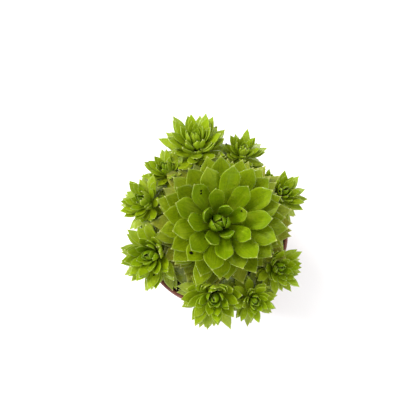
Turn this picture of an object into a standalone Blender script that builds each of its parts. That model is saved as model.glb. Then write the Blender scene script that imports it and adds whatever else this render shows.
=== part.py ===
"""Hens and chicks, a clump of houseleek rosettes, growing in a small round pot.

The pot and the potting mix are turned. Each rosette is one body: a short stem and a crown with
leaves set round it at the golden angle, opened from the bud outwards. The hen fills a dome, and the
chicks crowd under and round it. Each leaf is bent until it is clear of the other rosettes.
Millimetres times MM give metres, +Z is up, and the origin is the middle of the pot's flat base.
"""
import math
import random
from collections import namedtuple

import bmesh
import bpy
from mathutils import Matrix, Vector, noise

MM = 0.001
GAP = 0.3 * MM

# The pot, a thin plastic one with a lip round its rim
RIM_HEIGHT = 58.0 * MM
RIM_RADIUS = 32.5 * MM
LIP_HEIGHT = 4.0 * MM
LIP_STEP = 1.2 * MM
WALL = 1.2 * MM
FLOOR = 1.6 * MM
BASE_RADIUS = 22.5 * MM
DRAIN_RADIUS = 2.5 * MM
DRAIN_CIRCLE = 13.0 * MM
DRAIN_COUNT = 4
DRAIN_SIDES = 12
POT_SIDES = 32

# The potting mix, with chips of bark and pumice lying on it
MIX_BELOW_RIM = 6.0 * MM
MIX_BUMP = 0.7 * MM
MIX_LUMP = 4.0 * MM
MIX_RINGS = 3
MIX_SIDES = 24
CHIP_COUNT = 13
CHIP_SIZE = (1.3 * MM, 2.3 * MM)
CHIP_STRETCH = (1.25, 0.8)
CHIP_FLAT = (0.45, 0.7)
CHIP_ROOM = 1.6
STEM_DEPTH = 8.0 * MM
STEM_SIDES = 12

# Where leaves must stay clear of the pot and the mix, measured from the pot's axis
INSIDE_RADIUS = 29.0 * MM
OUTSIDE_RADIUS = 34.5 * MM
CLEAR_OF_RIM = 0.8 * MM
CLEAR_OF_MIX = 3.0 * MM

# From each leaf to the next, nearly the golden angle, clockwise as seen from above
LEAF_TURN = math.radians(-137.565)
SEED = 7

# Each rosette: the crown's place (x, y and height above the rim), how far its leaves reach, its lean
# from upright and the way it leans, its leaves, the way its innermost leaf points, and where its
# stem enters the mix
Rosette = namedtuple("Rosette", "name crown reach lean toward leaves first foot")
HEN = Rosette("hen", (2.8, 2.8, 9.6), 30.1, 8.0, -47.0, 62, 86.2, (2.0, 1.0))
CHICKS = (
    Rosette("chick_back", (-7.4, 32.5, 6.5), 17.5, 20.0, 103.0, 34, 20.0, (-5.5, 23.5)),
    Rosette("chick_back_right", (11.5, 31.0, 5.5), 12.0, 18.0, 70.0, 24, 80.0, (8.0, 22.0)),
    Rosette("chick_tiny", (22.3, 19.5, 4.0), 7.5, 18.0, 43.0, 14, 10.0, (18.5, 15.5)),
    Rosette("chick_right", (27.0, 13.6, 5.5), 12.5, 20.0, 25.0, 28, 140.0, (22.0, 9.5)),
    Rosette("chick_front_right", (24.5, -15.8, 5.0), 13.0, 20.0, -31.0, 28, 200.0, (19.5, -11.0)),
    Rosette("chick_front_small", (15.0, -28.3, 4.0), 12.0, 22.0, -60.0, 24, 60.0, (16.0, -19.5)),
    Rosette("chick_front", (-0.3, -25.5, 5.0), 17.0, 22.0, -86.0, 34, 300.0, (0.0, -19.5)),
    Rosette("chick_front_left", (-22.9, -10.2, 5.5), 17.0, 22.0, -150.0, 36, 110.0, (-19.5, -7.5)),
    Rosette("chick_left", (-26.7, 10.5, 5.0), 14.0, 20.0, 172.0, 26, 250.0, (-21.0, 8.5)),
    Rosette("chick_back_left", (-19.0, 23.0, 5.5), 12.5, 20.0, 130.0, 24, 330.0, (-14.5, 17.0)),
)

# The hen's dome round an upright axis, with heights from the rim: widest at the waist, narrower
# under it, where the chicks grow, and round above it
DOME_AXIS = (2.0 * MM, 1.4 * MM)
DOME_RADIUS = 30.5 * MM
DOME_WAIST = 14.0 * MM
DOME_RISE = 30.0 * MM
DOME_UNDERCUT = 1.0

# Chicks meet at a plane, with shares that go with their reach to this power
SHARE_POWER = 1.5
SPHERE_ROOM = 1.08
STEM_ROOM = 1.5 * MM

# Leaves, as parts of their rosette's reach or of their own length or width
OPENING = (2.5, 113.0)
OPENING_POWER = 0.56
OPENING_KNEE = 55.0
KNEE_UNDER_LIMIT = 0.8
OPENING_STEP = 2.0
BUD_LENGTH = 0.50
LEAF_LENGTH = 0.89
FULL_LENGTH_FROM = 0.32
LENGTH_POWER = 0.8
LENGTH_DRAW = (0.95, 1.04)
BUD_WIDTH = 0.55
BUD_THICKNESS = 0.8
FULL_WIDTH_FROM = 0.3
WIDTH_DRAW = (0.93, 1.06)
CROWN_HEIGHT = 0.50
HEART_RADIUS = 0.33
HEART_HALF = 0.36
HEART_RISE = 0.18
HEART_SIDES = 8
ROOT_RADIUS = 0.05
CURL = (0.28, 0.03)
CUP = 0.16
ROOT_WIDTH = 0.46
SWELL_POWER = 1.5
TAPER_POWER = 1.7
DEPTH_POWER = 3
# A crowded leaf may bend by so many degrees at each part of its full length, tried in this order,
# and every leaf's turn and opening sway a little at random
BEND_STEP = 3
CROWDED = ((12, 1.0), (15, 0.8), (15, 0.62), (18, 0.48), (40, 1.0), (50, 0.62))
SWAY = 1.5
Build = namedtuple("Build", "width thickness shoulder stations corners")
HEN_BUILD = Build(0.36, 0.18, 0.70, (0.0, 0.40, 0.70, 0.88, 1.0), 4)
CHICK_BUILD = Build(0.37, 0.24, 0.58, (0.0, 0.42, 0.68, 1.0), 3)
TEST_STATIONS = (0.3, 0.45, 0.6, 0.75, 0.9, 1.0)

# The hen's oldest leaves, which go on under the others and grow longer
OLD_LEAVES = 12
OLD_STRETCH = 0.5

# The stems, a chick's as a part of its reach, and how each leaves the mix and reaches its crown
HEN_STEM = 3.0 * MM
CHICK_STEM = 0.085
STEM_SHOWS = 1.5 * MM
STEM_RISE = 3.8 * MM
STEM_SPANS = 4


def new_collection(name):
    """A collection of its own in the scene."""
    collection = bpy.data.collections.new(name)
    bpy.context.scene.collection.children.link(collection)
    return collection


def material(name, color, roughness):
    """A plain surface with the part's colour."""
    surface = bpy.data.materials.new(name)
    surface.use_nodes = True
    shader = surface.node_tree.nodes["Principled BSDF"]
    shader.inputs["Base Color"].default_value = (*color, 1.0)
    shader.inputs["Roughness"].default_value = roughness
    shader.inputs["Metallic"].default_value = 0.0
    return surface


def mesh_object(name, mesh, collection):
    """An object for a mesh, in the given collection."""
    obj = bpy.data.objects.new(name, mesh)
    collection.objects.link(obj)
    return obj


def apply_modifiers(obj):
    """Give the object its evaluated mesh, and drop the modifiers that made it."""
    evaluated = obj.evaluated_get(bpy.context.evaluated_depsgraph_get())
    mesh = bpy.data.meshes.new_from_object(evaluated)
    obj.modifiers.clear()
    obj.data = mesh


def turned(name, profile, sides, collection):
    """A body turned about +Z from (radius, height) points, down its outer side."""
    mesh = bpy.data.meshes.new(name)
    edges = [(i, i + 1) for i in range(len(profile) - 1)]
    mesh.from_pydata([(radius, 0.0, height) for radius, height in profile], edges, [])
    obj = mesh_object(name, mesh, collection)
    screw = obj.modifiers.new("turn", "SCREW")
    screw.steps = sides
    screw.render_steps = sides
    screw.use_merge_vertices = True
    screw.merge_threshold = 0.00001
    apply_modifiers(obj)
    return obj


def primitive_cutter(name, radius, bottom, top, center, sides, collection):
    """An upright cylinder that cuts a plain hole."""
    mesh = bpy.data.meshes.new(name)
    shape = bmesh.new()
    bmesh.ops.create_cone(shape, cap_ends=True, segments=sides, radius1=radius, radius2=radius,
                          depth=top - bottom)
    shape.to_mesh(mesh)
    shape.free()
    cutter = mesh_object(name, mesh, collection)
    cutter.location = (center[0], center[1], (top + bottom) / 2)
    cutter.hide_render = True
    cutter.display_type = "WIRE"
    return cutter


def boolean(obj, operation, collection, solver="EXACT"):
    """Cut or join an object with everything in a collection."""
    modifier = obj.modifiers.new(operation.lower(), "BOOLEAN")
    modifier.operation = operation
    modifier.operand_type = "COLLECTION"
    modifier.collection = collection
    modifier.solver = solver
    apply_modifiers(obj)


def keep_largest_body(obj):
    """Drop scraps and sealed hollows that a union leaves, keeping the body that spans the most."""
    shape = bmesh.new()
    shape.from_mesh(obj.data)
    bmesh.ops.triangulate(shape, faces=shape.faces)
    shape.verts.ensure_lookup_table()
    unseen = set(shape.verts)
    bodies = []
    while unseen:
        stack = [next(vert for vert in shape.verts if vert in unseen)]
        body = set(stack)
        while stack:
            for edge in stack.pop().link_edges:
                for vert in edge.verts:
                    if vert not in body:
                        body.add(vert)
                        stack.append(vert)
        unseen -= body
        bodies.append(body)
    largest = max(bodies, key=len)
    dropped = [vert for vert in shape.verts if vert not in largest]
    bmesh.ops.delete(shape, geom=dropped, context="VERTS")
    shape.to_mesh(obj.data)
    shape.free()


def blend(a, b, t):
    """The value a part t of the way from a to b."""
    return a + (b - a) * t


def wall_radius(height):
    """The pot's outer radius under the lip, at a height."""
    lip_foot = RIM_HEIGHT - LIP_HEIGHT
    return blend(BASE_RADIUS, RIM_RADIUS - LIP_STEP, height / lip_foot)


def make_pot(collection, cutters):
    """The pot: a thin tapered wall, a lip at the rim, and drain holes in a flat base."""
    lip_foot = RIM_HEIGHT - LIP_HEIGHT
    edge = 0.5 * MM
    profile = (
        (0.0, FLOOR),
        (wall_radius(FLOOR) - WALL, FLOOR),
        (wall_radius(lip_foot) - WALL, lip_foot),
        (RIM_RADIUS - 1.5 * WALL, RIM_HEIGHT - edge),
        (RIM_RADIUS - 1.2 * WALL, RIM_HEIGHT),
        (RIM_RADIUS - edge, RIM_HEIGHT),
        (RIM_RADIUS, RIM_HEIGHT - edge),
        (RIM_RADIUS, lip_foot + edge),
        (RIM_RADIUS - edge, lip_foot),
        (wall_radius(lip_foot), lip_foot - edge),
        (wall_radius(2 * edge), 2 * edge),
        (BASE_RADIUS - 2 * edge, 0.0),
        (0.0, 0.0),
    )
    pot = turned("pot", profile, POT_SIDES, collection)
    for i in range(DRAIN_COUNT):
        angle = math.tau * (i + 0.5) / DRAIN_COUNT
        center = (DRAIN_CIRCLE * math.cos(angle), DRAIN_CIRCLE * math.sin(angle))
        primitive_cutter("drain", DRAIN_RADIUS, -FLOOR, 2 * FLOOR, center, DRAIN_SIDES, cutters)
    boolean(pot, "DIFFERENCE", cutters)
    pot.data.shade_smooth()
    pot.data.set_sharp_from_angle(angle=math.radians(30))
    pot.data.materials.append(material("pot plastic", (0.23, 0.075, 0.045), 0.45))


def mix_top(x, y):
    """The height of the potting mix's bumpy surface."""
    lumps = noise.noise(Vector((x, y, 0.0)) / MIX_LUMP)
    return RIM_HEIGHT - MIX_BELOW_RIM + MIX_BUMP * lumps


def stem_radius(rosette):
    """The radius of a rosette's stem."""
    return HEN_STEM if rosette is HEN else CHICK_STEM * rosette.reach * MM


def add_chips(collection, rosettes, rng):
    """Chips of bark and pumice, half sunk in the mix, clear of the stems."""
    placed = 0
    while placed < CHIP_COUNT:
        distance = INSIDE_RADIUS * math.sqrt(rng.random())
        angle = rng.uniform(0.0, math.tau)
        size = rng.uniform(*CHIP_SIZE)
        x = distance * math.cos(angle)
        y = distance * math.sin(angle)
        turn = rng.uniform(0.0, math.tau)
        flat = rng.uniform(*CHIP_FLAT)
        near_stem = any(
            math.hypot(x - r.foot[0] * MM, y - r.foot[1] * MM) < stem_radius(r) + CHIP_ROOM * size
            for r in rosettes)
        if near_stem or distance + CHIP_STRETCH[0] * size > INSIDE_RADIUS:
            continue
        mesh = bpy.data.meshes.new("chip")
        shape = bmesh.new()
        bmesh.ops.create_icosphere(shape, subdivisions=1, radius=size)
        shape.to_mesh(mesh)
        shape.free()
        chip = mesh_object("chip", mesh, collection)
        chip.matrix_world = (Matrix.Translation((x, y, mix_top(x, y)))
                             @ Matrix.Rotation(turn, 4, "Z")
                             @ Matrix.Diagonal((*CHIP_STRETCH, flat, 1.0)))
        placed += 1


def make_mix(collection, cutters, rosettes):
    """The potting mix: it fills the pot, with chips on top and a plain hole for each stem."""
    top = RIM_HEIGHT - MIX_BELOW_RIM
    bottom = FLOOR + GAP
    edge_radius = wall_radius(top) - WALL - GAP
    profile = [(edge_radius * ring / MIX_RINGS, top) for ring in range(MIX_RINGS + 1)]
    profile.append((wall_radius(bottom) - WALL - GAP, bottom))
    profile.append((0.0, bottom))
    mix = turned("potting_mix", profile, MIX_SIDES, collection)
    for vert in mix.data.vertices:
        radius = math.hypot(vert.co.x, vert.co.y)
        if vert.co.z > top - GAP and radius < edge_radius - GAP:
            vert.co.z = mix_top(vert.co.x, vert.co.y)
    chips = new_collection("chips")
    add_chips(chips, rosettes, random.Random(SEED))
    boolean(mix, "UNION", chips)
    empty_collection(chips)
    for rosette in rosettes:
        center = (rosette.foot[0] * MM, rosette.foot[1] * MM)
        hole = stem_radius(rosette) + GAP + 0.1 * MM
        primitive_cutter("hole", hole, top - STEM_DEPTH - GAP, RIM_HEIGHT, center,
                         STEM_SIDES, cutters)
    boolean(mix, "DIFFERENCE", cutters)
    mix.data.materials.append(material("potting mix", (0.045, 0.026, 0.014), 0.9))


def empty_collection(collection):
    """Remove a collection's objects, and the collection."""
    for obj in list(collection.objects):
        bpy.data.objects.remove(obj)
    bpy.data.collections.remove(collection)


def crown_place(rosette):
    """Where the rosette's lowest leaves grow from."""
    x, y, rise = rosette.crown
    return Vector((x * MM, y * MM, RIM_HEIGHT + rise * MM))


def axis_frame(rosette):
    """The rosette's own frame: its axis is Z."""
    lean = Matrix.Rotation(math.radians(rosette.lean), 3, "Y")
    toward = Matrix.Rotation(math.radians(rosette.toward), 3, "Z")
    return toward @ lean


def share(rosette, other):
    """The part of the way to the other rosette that belongs to this one."""
    own = rosette.reach ** SHARE_POWER
    return own / (own + other.reach ** SHARE_POWER)


def chick_walls(rosette, rosettes):
    """The planes between a chick and its neighbours: a point of each, and the normal to its side."""
    walls = []
    place = crown_place(rosette)
    for other in rosettes:
        way = crown_place(other) - place
        way.z = 0.0
        near = way.length < (rosette.reach + other.reach) * MM * SPHERE_ROOM
        if near and other not in (rosette, HEN):
            walls.append((place + way * share(rosette, other), -way.normalized()))
    return walls


def dome_radius(height):
    """The radius of the hen's dome at a height above the rim."""
    if height < DOME_WAIST:
        return DOME_RADIUS - (DOME_WAIST - height) * DOME_UNDERCUT
    return DOME_RADIUS * math.sqrt(max(0.0, 1.0 - ((height - DOME_WAIST) / DOME_RISE) ** 2))


def outside_dome(point):
    """How far a point lies outside the hen's dome, measured level."""
    from_axis = math.hypot(point.x - DOME_AXIS[0], point.y - DOME_AXIS[1])
    return from_axis - dome_radius(point.z - RIM_HEIGHT)


def clear_of_stem(point, rosette):
    """Whether a point keeps away from a rosette's stem."""
    route = stem_route(rosette)
    for start, end in zip(route, route[1:]):
        way = end - start
        along = min(1.0, max(0.0, (point - start).dot(way) / way.length_squared))
        if (start + way * along - point).length < stem_radius(rosette) + STEM_ROOM:
            return False
    return True


def clear_of_chick(point, chick):
    """Whether a point lies outside a chick's round of leaves, and away from its stem."""
    if (point - crown_place(chick)).length < chick.reach * MM * SPHERE_ROOM + GAP:
        return False
    return clear_of_stem(point, chick)


def clear_of_pot(point):
    """Whether a point keeps clear of the rim and the potting mix."""
    radius = math.hypot(point.x, point.y)
    if radius > OUTSIDE_RADIUS:
        return True
    if radius > INSIDE_RADIUS:
        return point.z > RIM_HEIGHT + CLEAR_OF_RIM
    return point.z > RIM_HEIGHT - MIX_BELOW_RIM + CLEAR_OF_MIX


def is_clear(rosette, point, walls):
    """Whether a point of the rosette keeps clear of the pot and of the other rosettes."""
    if not clear_of_pot(point):
        return False
    if rosette is HEN:
        return outside_dome(point) < -GAP or all(clear_of_chick(point, chick) for chick in CHICKS)
    if outside_dome(point) < GAP:
        return False
    return all((point - middle).dot(normal) > GAP for middle, normal in walls)


class Leaf:
    """One leaf: a spatulate blade, cupped on top and keeled below, that ends in a point."""

    def __init__(self, rosette, build, age, turn, opening, rng):
        self.rosette = rosette
        self.frame = axis_frame(rosette)
        self.crown = crown_place(rosette)
        self.reach = rosette.reach * MM
        self.build = build
        self.age = age
        self.turn = turn
        self.opening = opening
        grown = min(1.0, age / FULL_LENGTH_FROM) ** LENGTH_POWER
        old = 1.0 + OLD_STRETCH * max(0.0, age - 1.0)
        wide = min(1.0, age / FULL_WIDTH_FROM)
        self.length = self.reach * blend(BUD_LENGTH, LEAF_LENGTH, grown) * old
        self.length *= rng.uniform(*LENGTH_DRAW)
        full_width = self.reach * LEAF_LENGTH * build.width
        self.width = full_width * blend(BUD_WIDTH, 1.0, wide) * rng.uniform(*WIDTH_DRAW)
        self.thickness = full_width * build.thickness * blend(BUD_THICKNESS, 1.0, wide)
        self.curl = blend(*CURL, min(1.0, age)) * self.length

    def axes(self):
        """The leaf's way out, its way across and the way that its upper face looks."""
        radial = Vector((math.cos(self.turn), math.sin(self.turn), 0.0))
        axis = Vector((0.0, 0.0, 1.0))
        out = radial * math.sin(self.opening) + axis * math.cos(self.opening)
        up = axis * math.sin(self.opening) - radial * math.cos(self.opening)
        return out, radial.cross(axis), up

    def section(self, along):
        """The blade's corners at a part of its length: left, under, right and, cupped, the top."""
        out, across, up = self.axes()
        height = self.reach * CROWN_HEIGHT * (1.0 - self.age)
        root = Vector((0.0, 0.0, height))
        radial = Vector((math.cos(self.turn), math.sin(self.turn), 0.0))
        root += radial * self.reach * ROOT_RADIUS
        spine = root + out * self.length * along + up * self.curl * along * along
        half = self.width / 2 * half_width(along, self.build.shoulder)
        depth = self.thickness * math.sqrt(max(0.0, 1.0 - along ** DEPTH_POWER))
        rim = up * (CUP * half)
        corners = (spine - across * half + rim, spine - up * depth,
                   spine + across * half + rim, spine)
        return [self.crown + self.frame @ corner for corner in corners[:self.build.corners]]

    def tip(self):
        """The point that the blade ends in."""
        corners = self.section(1.0)
        return (corners[0] + corners[2]) / 2

    def clear(self, walls):
        """Whether the whole blade keeps clear of its neighbours, the rim and the mix."""
        return all(is_clear(self.rosette, corner, walls)
                   for along in TEST_STATIONS for corner in self.section(along))


def half_width(along, shoulder):
    """The blade's half width as a part of the widest: narrow at the root, widest at the shoulder."""
    if along < shoulder:
        swell = math.sin(math.pi / 2 * along / shoulder)
        return blend(ROOT_WIDTH, 1.0, swell ** SWELL_POWER)
    return 1.0 - ((along - shoulder) / (1.0 - shoulder)) ** TAPER_POWER


def widest_opening(rosette, build, turn, walls):
    """How far the lowest leaf can open on this side before it meets a neighbour."""
    probe = Leaf(rosette, build, 1.0, turn, math.radians(OPENING[1]), random.Random(0))
    step = math.radians(OPENING_STEP)
    while probe.opening > step and not probe.clear(walls):
        probe.opening -= step
    return probe.opening


def leaf_opening(age, limit):
    """A leaf's opening from the axis, with the older leaves pressed together under a low limit."""
    first, last = (math.radians(angle) for angle in OPENING)
    opening = blend(first, last, min(1.0, age) ** OPENING_POWER)
    knee = min(math.radians(OPENING_KNEE), limit * KNEE_UNDER_LIMIT)
    if opening <= knee:
        return opening
    return blend(knee, min(limit, last), (opening - knee) / (last - knee))


def bend_clear(leaf, walls, most):
    """Bend a leaf up or down, as little as it takes to clear its neighbours, if it can be."""
    natural = leaf.opening
    for bend in range(0, most, BEND_STEP):
        for way in (-1.0, 1.0):
            leaf.opening = natural + way * math.radians(bend)
            if leaf.opening > 0.0 and leaf.clear(walls):
                return True
    leaf.opening = natural
    return False


def grow_clear(leaf, walls):
    """Keep a leaf shorter where its neighbours crowd it, and bent where that isn't enough."""
    full = leaf.length
    for most, part in CROWDED:
        leaf.length = full * part
        leaf.curl = blend(*CURL, min(1.0, leaf.age)) * leaf.length
        if bend_clear(leaf, walls, most):
            return True
    return False


def rosette_leaves(rosette, build, walls, rng):
    """The rosette's leaves that find room, each grown clear of its neighbours."""
    leaves = []
    for i in range(rosette.leaves + (OLD_LEAVES if rosette is HEN else 0)):
        age = i / (rosette.leaves - 1)
        turn = math.radians(rosette.first + rng.uniform(-SWAY, SWAY)) + i * LEAF_TURN
        limit = widest_opening(rosette, build, turn, walls) if rosette is HEN else math.pi
        opening = leaf_opening(age, limit) + math.radians(rng.uniform(-SWAY, SWAY))
        leaf = Leaf(rosette, build, age, turn, opening, rng)
        if grow_clear(leaf, walls):
            leaves.append(leaf)
    return leaves


def blade_mesh(leaf):
    """A closed blade: sections of three or four corners from the root on, then the point."""
    mesh = bpy.data.meshes.new("leaf")
    shape = bmesh.new()
    rings = [[shape.verts.new(corner) for corner in leaf.section(along)]
             for along in leaf.build.stations[:-1]]
    tip = shape.verts.new(leaf.tip())
    shape.faces.new(rings[0])
    corners = leaf.build.corners
    for ring, following in zip(rings, rings[1:]):
        for a in range(corners):
            b = (a + 1) % corners
            shape.faces.new((ring[b], ring[a], following[a]))
            shape.faces.new((ring[b], following[a], following[b]))
    for a in range(corners):
        shape.faces.new((rings[-1][(a + 1) % corners], rings[-1][a], tip))
    bmesh.ops.recalc_face_normals(shape, faces=shape.faces)
    shape.to_mesh(mesh)
    shape.free()
    return mesh


def make_heart(rosette, walls, collection):
    """The dense heart that the leaves stand out of, an egg shape along the rosette's axis."""
    mesh = bpy.data.meshes.new(rosette.name)
    reach = rosette.reach * MM
    frame = axis_frame(rosette)
    center = crown_place(rosette) + frame @ Vector((0.0, 0.0, HEART_RISE * reach))
    room = [(center - middle).dot(normal) - 2 * GAP for middle, normal in walls]
    if rosette is not HEN:
        room.append(outside_dome(center) - 2 * GAP)
    size = min([reach] + [gap / HEART_HALF for gap in room])
    shape = bmesh.new()
    bmesh.ops.create_uvsphere(shape, u_segments=HEART_SIDES, v_segments=HEART_SIDES, radius=1.0)
    radii = (HEART_RADIUS * size, HEART_RADIUS * size, HEART_HALF * size, 1.0)
    shape.transform(Matrix.Translation(center) @ frame.to_4x4() @ Matrix.Diagonal(radii))
    shape.to_mesh(mesh)
    shape.free()
    return mesh_object(rosette.name, mesh, collection)


def stem_route(rosette):
    """Points along the stem, from its foot in the mix up and over to the crown."""
    foot = Vector((rosette.foot[0] * MM, rosette.foot[1] * MM, RIM_HEIGHT - MIX_BELOW_RIM))
    leave = foot + Vector((0.0, 0.0, STEM_SHOWS))
    crown = crown_place(rosette)
    axis = axis_frame(rosette) @ Vector((0.0, 0.0, 1.0))
    guides = (leave, leave + Vector((0.0, 0.0, STEM_RISE)), crown - axis * STEM_RISE,
              crown + axis * MM)
    points = [foot - Vector((0.0, 0.0, STEM_DEPTH)), leave]
    for i in range(1, STEM_SPANS + 1):
        t = i / STEM_SPANS
        weights = ((1 - t) ** 3, 3 * t * (1 - t) ** 2, 3 * t * t * (1 - t), t ** 3)
        points.append(sum((g * w for g, w in zip(guides, weights)), Vector()))
    return points


def make_stem(rosette, collection):
    """A round stem along its route, as a mesh."""
    curve = bpy.data.curves.new("stem", "CURVE")
    curve.dimensions = "3D"
    curve.bevel_depth = stem_radius(rosette)
    curve.bevel_resolution = 2
    curve.use_fill_caps = True
    route = stem_route(rosette)
    spline = curve.splines.new("POLY")
    spline.points.add(len(route) - 1)
    for point, place in zip(spline.points, route):
        point.co = (*place, 1.0)
    guide = bpy.data.objects.new("stem guide", curve)
    collection.objects.link(guide)
    bpy.context.view_layer.update()
    evaluated = guide.evaluated_get(bpy.context.evaluated_depsgraph_get())
    mesh = bpy.data.meshes.new_from_object(evaluated)
    bpy.data.objects.remove(guide)
    shape = bmesh.new()
    shape.from_mesh(mesh)
    bmesh.ops.remove_doubles(shape, verts=shape.verts, dist=0.00001)
    bmesh.ops.recalc_face_normals(shape, faces=shape.faces)
    shape.to_mesh(mesh)
    shape.free()
    mesh_object("stem", mesh, collection)


def make_rosette(rosette, rosettes, collection, surface):
    """One rosette: its heart, with the stem and all its leaves joined to it."""
    build = HEN_BUILD if rosette is HEN else CHICK_BUILD
    rng = random.Random(SEED + len(rosette.name) * 31 + rosette.leaves)
    walls = [] if rosette is HEN else chick_walls(rosette, rosettes)
    heart = make_heart(rosette, walls, collection)
    joined = new_collection("joined")
    make_stem(rosette, joined)
    for leaf in rosette_leaves(rosette, build, walls, rng):
        mesh_object("leaf", blade_mesh(leaf), joined)
    boolean(heart, "UNION", joined, "MANIFOLD")
    empty_collection(joined)
    keep_largest_body(heart)
    heart.data.materials.clear()
    heart.data.materials.append(surface)


def main():
    """Build the plant in its pot."""
    for obj in list(bpy.data.objects):
        bpy.data.objects.remove(obj)
    parts = new_collection("hens and chicks")
    pot_cutters = new_collection("drain holes")
    mix_cutters = new_collection("stem holes")
    rosettes = (HEN, *CHICKS)
    make_pot(parts, pot_cutters)
    make_mix(parts, mix_cutters, rosettes)
    hen_leaf = material("hen leaf", (0.22, 0.36, 0.012), 0.42)
    chick_leaf = material("chick leaf", (0.25, 0.40, 0.03), 0.45)
    for rosette in rosettes:
        make_rosette(rosette, rosettes, parts, hen_leaf if rosette is HEN else chick_leaf)


main()
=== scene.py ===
# %% [markdown]
# # Hens and chicks in a small pot
#
# The plant is a houseleek: one large rosette, the hen, with ten offsets, the chicks, that crowd
# under and round her in a thin plastic pot. A plain solid model of it is already there, and this
# lesson dresses it with fine leaves, margins, hairs, grit and finishes.
#
# The solid model is loaded first, as a fixed frame. Most fine pieces then take the place of a solid,
# which is hidden, in metres and in the same place, so nothing has to be fitted.

# %% Load the solid model
import math
import random
from collections import namedtuple

import bmesh
import bpy
from mathutils import Matrix, Vector, noise
from mathutils.bvhtree import BVHTree


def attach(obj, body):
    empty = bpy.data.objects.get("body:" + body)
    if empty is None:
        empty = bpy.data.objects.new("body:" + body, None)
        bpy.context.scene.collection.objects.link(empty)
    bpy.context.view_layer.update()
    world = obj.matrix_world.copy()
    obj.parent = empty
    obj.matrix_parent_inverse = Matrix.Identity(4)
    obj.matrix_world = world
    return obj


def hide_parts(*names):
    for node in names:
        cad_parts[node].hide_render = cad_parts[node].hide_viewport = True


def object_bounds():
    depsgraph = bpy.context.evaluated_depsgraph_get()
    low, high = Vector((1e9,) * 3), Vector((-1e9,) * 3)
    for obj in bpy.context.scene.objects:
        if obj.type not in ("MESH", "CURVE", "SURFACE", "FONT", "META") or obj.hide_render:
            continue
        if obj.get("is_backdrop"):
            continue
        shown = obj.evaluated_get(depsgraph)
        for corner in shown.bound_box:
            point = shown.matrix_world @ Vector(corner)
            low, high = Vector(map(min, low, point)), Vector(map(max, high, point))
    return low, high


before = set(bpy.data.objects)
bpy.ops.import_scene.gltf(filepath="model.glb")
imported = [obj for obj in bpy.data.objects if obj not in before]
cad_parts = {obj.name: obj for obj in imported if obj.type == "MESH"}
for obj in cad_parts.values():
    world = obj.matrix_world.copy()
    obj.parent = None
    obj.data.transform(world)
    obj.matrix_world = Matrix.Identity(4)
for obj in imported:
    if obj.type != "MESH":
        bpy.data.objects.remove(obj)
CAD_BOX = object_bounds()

MM = 0.001
print("solids:", len(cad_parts))

# %% [markdown]
# ## The camera and the light
#
# The plant is seen almost straight down, ten degrees off the plumb line, from about 35 cm over the
# rim. Turning the camera a little puts the rim where it belongs in the picture, so the lens needs no
# shift. A large soft light stands high at the back left, a small window light beside it gives the
# wax its sheen, a wide one fills the front, and a white sky keeps the shade open. The floor is a
# plain flat white sheet, marked as stage.

# %% Camera
RIM_HEIGHT = 58.0 * MM
VIEW_DISTANCE = 350.0 * MM
VIEW_ELEVATION = math.radians(80.0)
VIEW_WIDTH = 176.4 * MM
PICTURE = 400.0
RIM_PIXEL = (214.3, 232.0)


def linked(name, data):
    """A new object in the scene."""
    piece = bpy.data.objects.new(name, data)
    bpy.context.scene.collection.objects.link(piece)
    return piece


def make_camera():
    """The camera at the picture's angle, turned so that the rim's middle lands on its pixel."""
    back = Vector((0.0, -math.cos(VIEW_ELEVATION), math.sin(VIEW_ELEVATION)))
    data = bpy.data.cameras.new("camera")
    data.lens = data.sensor_width / 2 / (VIEW_WIDTH / 2 / VIEW_DISTANCE)
    data.clip_start = 10.0 * MM
    per_pixel = VIEW_WIDTH / PICTURE / VIEW_DISTANCE
    sideways, upward = (math.atan((pixel - PICTURE / 2) * per_pixel) for pixel in RIM_PIXEL)
    look = (-back).to_track_quat("-Z", "Y").to_matrix()
    look = look @ Matrix.Rotation(sideways, 3, "Y") @ Matrix.Rotation(upward, 3, "X")
    place = Vector((0.0, 0.0, RIM_HEIGHT)) + back * VIEW_DISTANCE
    camera = linked("camera", data)
    camera.matrix_world = Matrix.Translation(place) @ look.to_4x4()
    bpy.context.scene.camera = camera
    bpy.context.view_layer.update()
    return camera


camera = make_camera()
print("lens:", round(camera.data.lens, 1), "mm")


# %% Lights, sky and floor
def area_light(name, place, aim_height, size, watts, color):
    """A square soft light that looks at a height over the pot's middle."""
    data = bpy.data.lights.new(name, "AREA")
    data.size, data.energy, data.color = size, watts, color
    light = linked(name, data)
    light.location = place
    way = Vector((0.0, 0.0, aim_height)) - Vector(place)
    light.rotation_euler = way.to_track_quat("-Z", "Y").to_euler()


area_light("main light", (-0.26, 0.24, 0.62), 0.05, 0.30, 3.2, (1.0, 0.98, 0.93))
area_light("window light", (-0.50, 0.06, 0.45), 0.08, 0.11, 2.0, (0.96, 0.98, 1.0))
area_light("fill light", (0.45, -0.45, 0.50), 0.05, 0.60, 2.2, (0.97, 0.98, 1.0))

SKY_STRENGTH = 1.05
sky = bpy.data.worlds.new("white sky")
sky.use_nodes = True
sky.node_tree.nodes["Background"].inputs["Color"].default_value = (1.0, 1.0, 1.0, 1.0)
sky.node_tree.nodes["Background"].inputs["Strength"].default_value = SKY_STRENGTH
bpy.context.scene.world = sky
bpy.context.scene.view_settings.view_transform = "Standard"

FLOOR_HALF = 20.0
floor_mesh = bpy.data.meshes.new("floor")
floor_mesh.from_pydata([(x * FLOOR_HALF, y * FLOOR_HALF, 0.0)
                        for x, y in ((-1, -1), (1, -1), (1, 1), (-1, 1))], [], [(0, 1, 2, 3)])
floor = linked("floor", floor_mesh)
floor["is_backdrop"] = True

# %% [markdown]
# ## A short way to write nodes
#
# Both the shapes and the finishes are node trees. One small helper makes a node, fills its sockets
# and returns what comes out, so a tree reads as a few lines of formulas. A value may be a number, a
# vector or another node's output.


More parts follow.
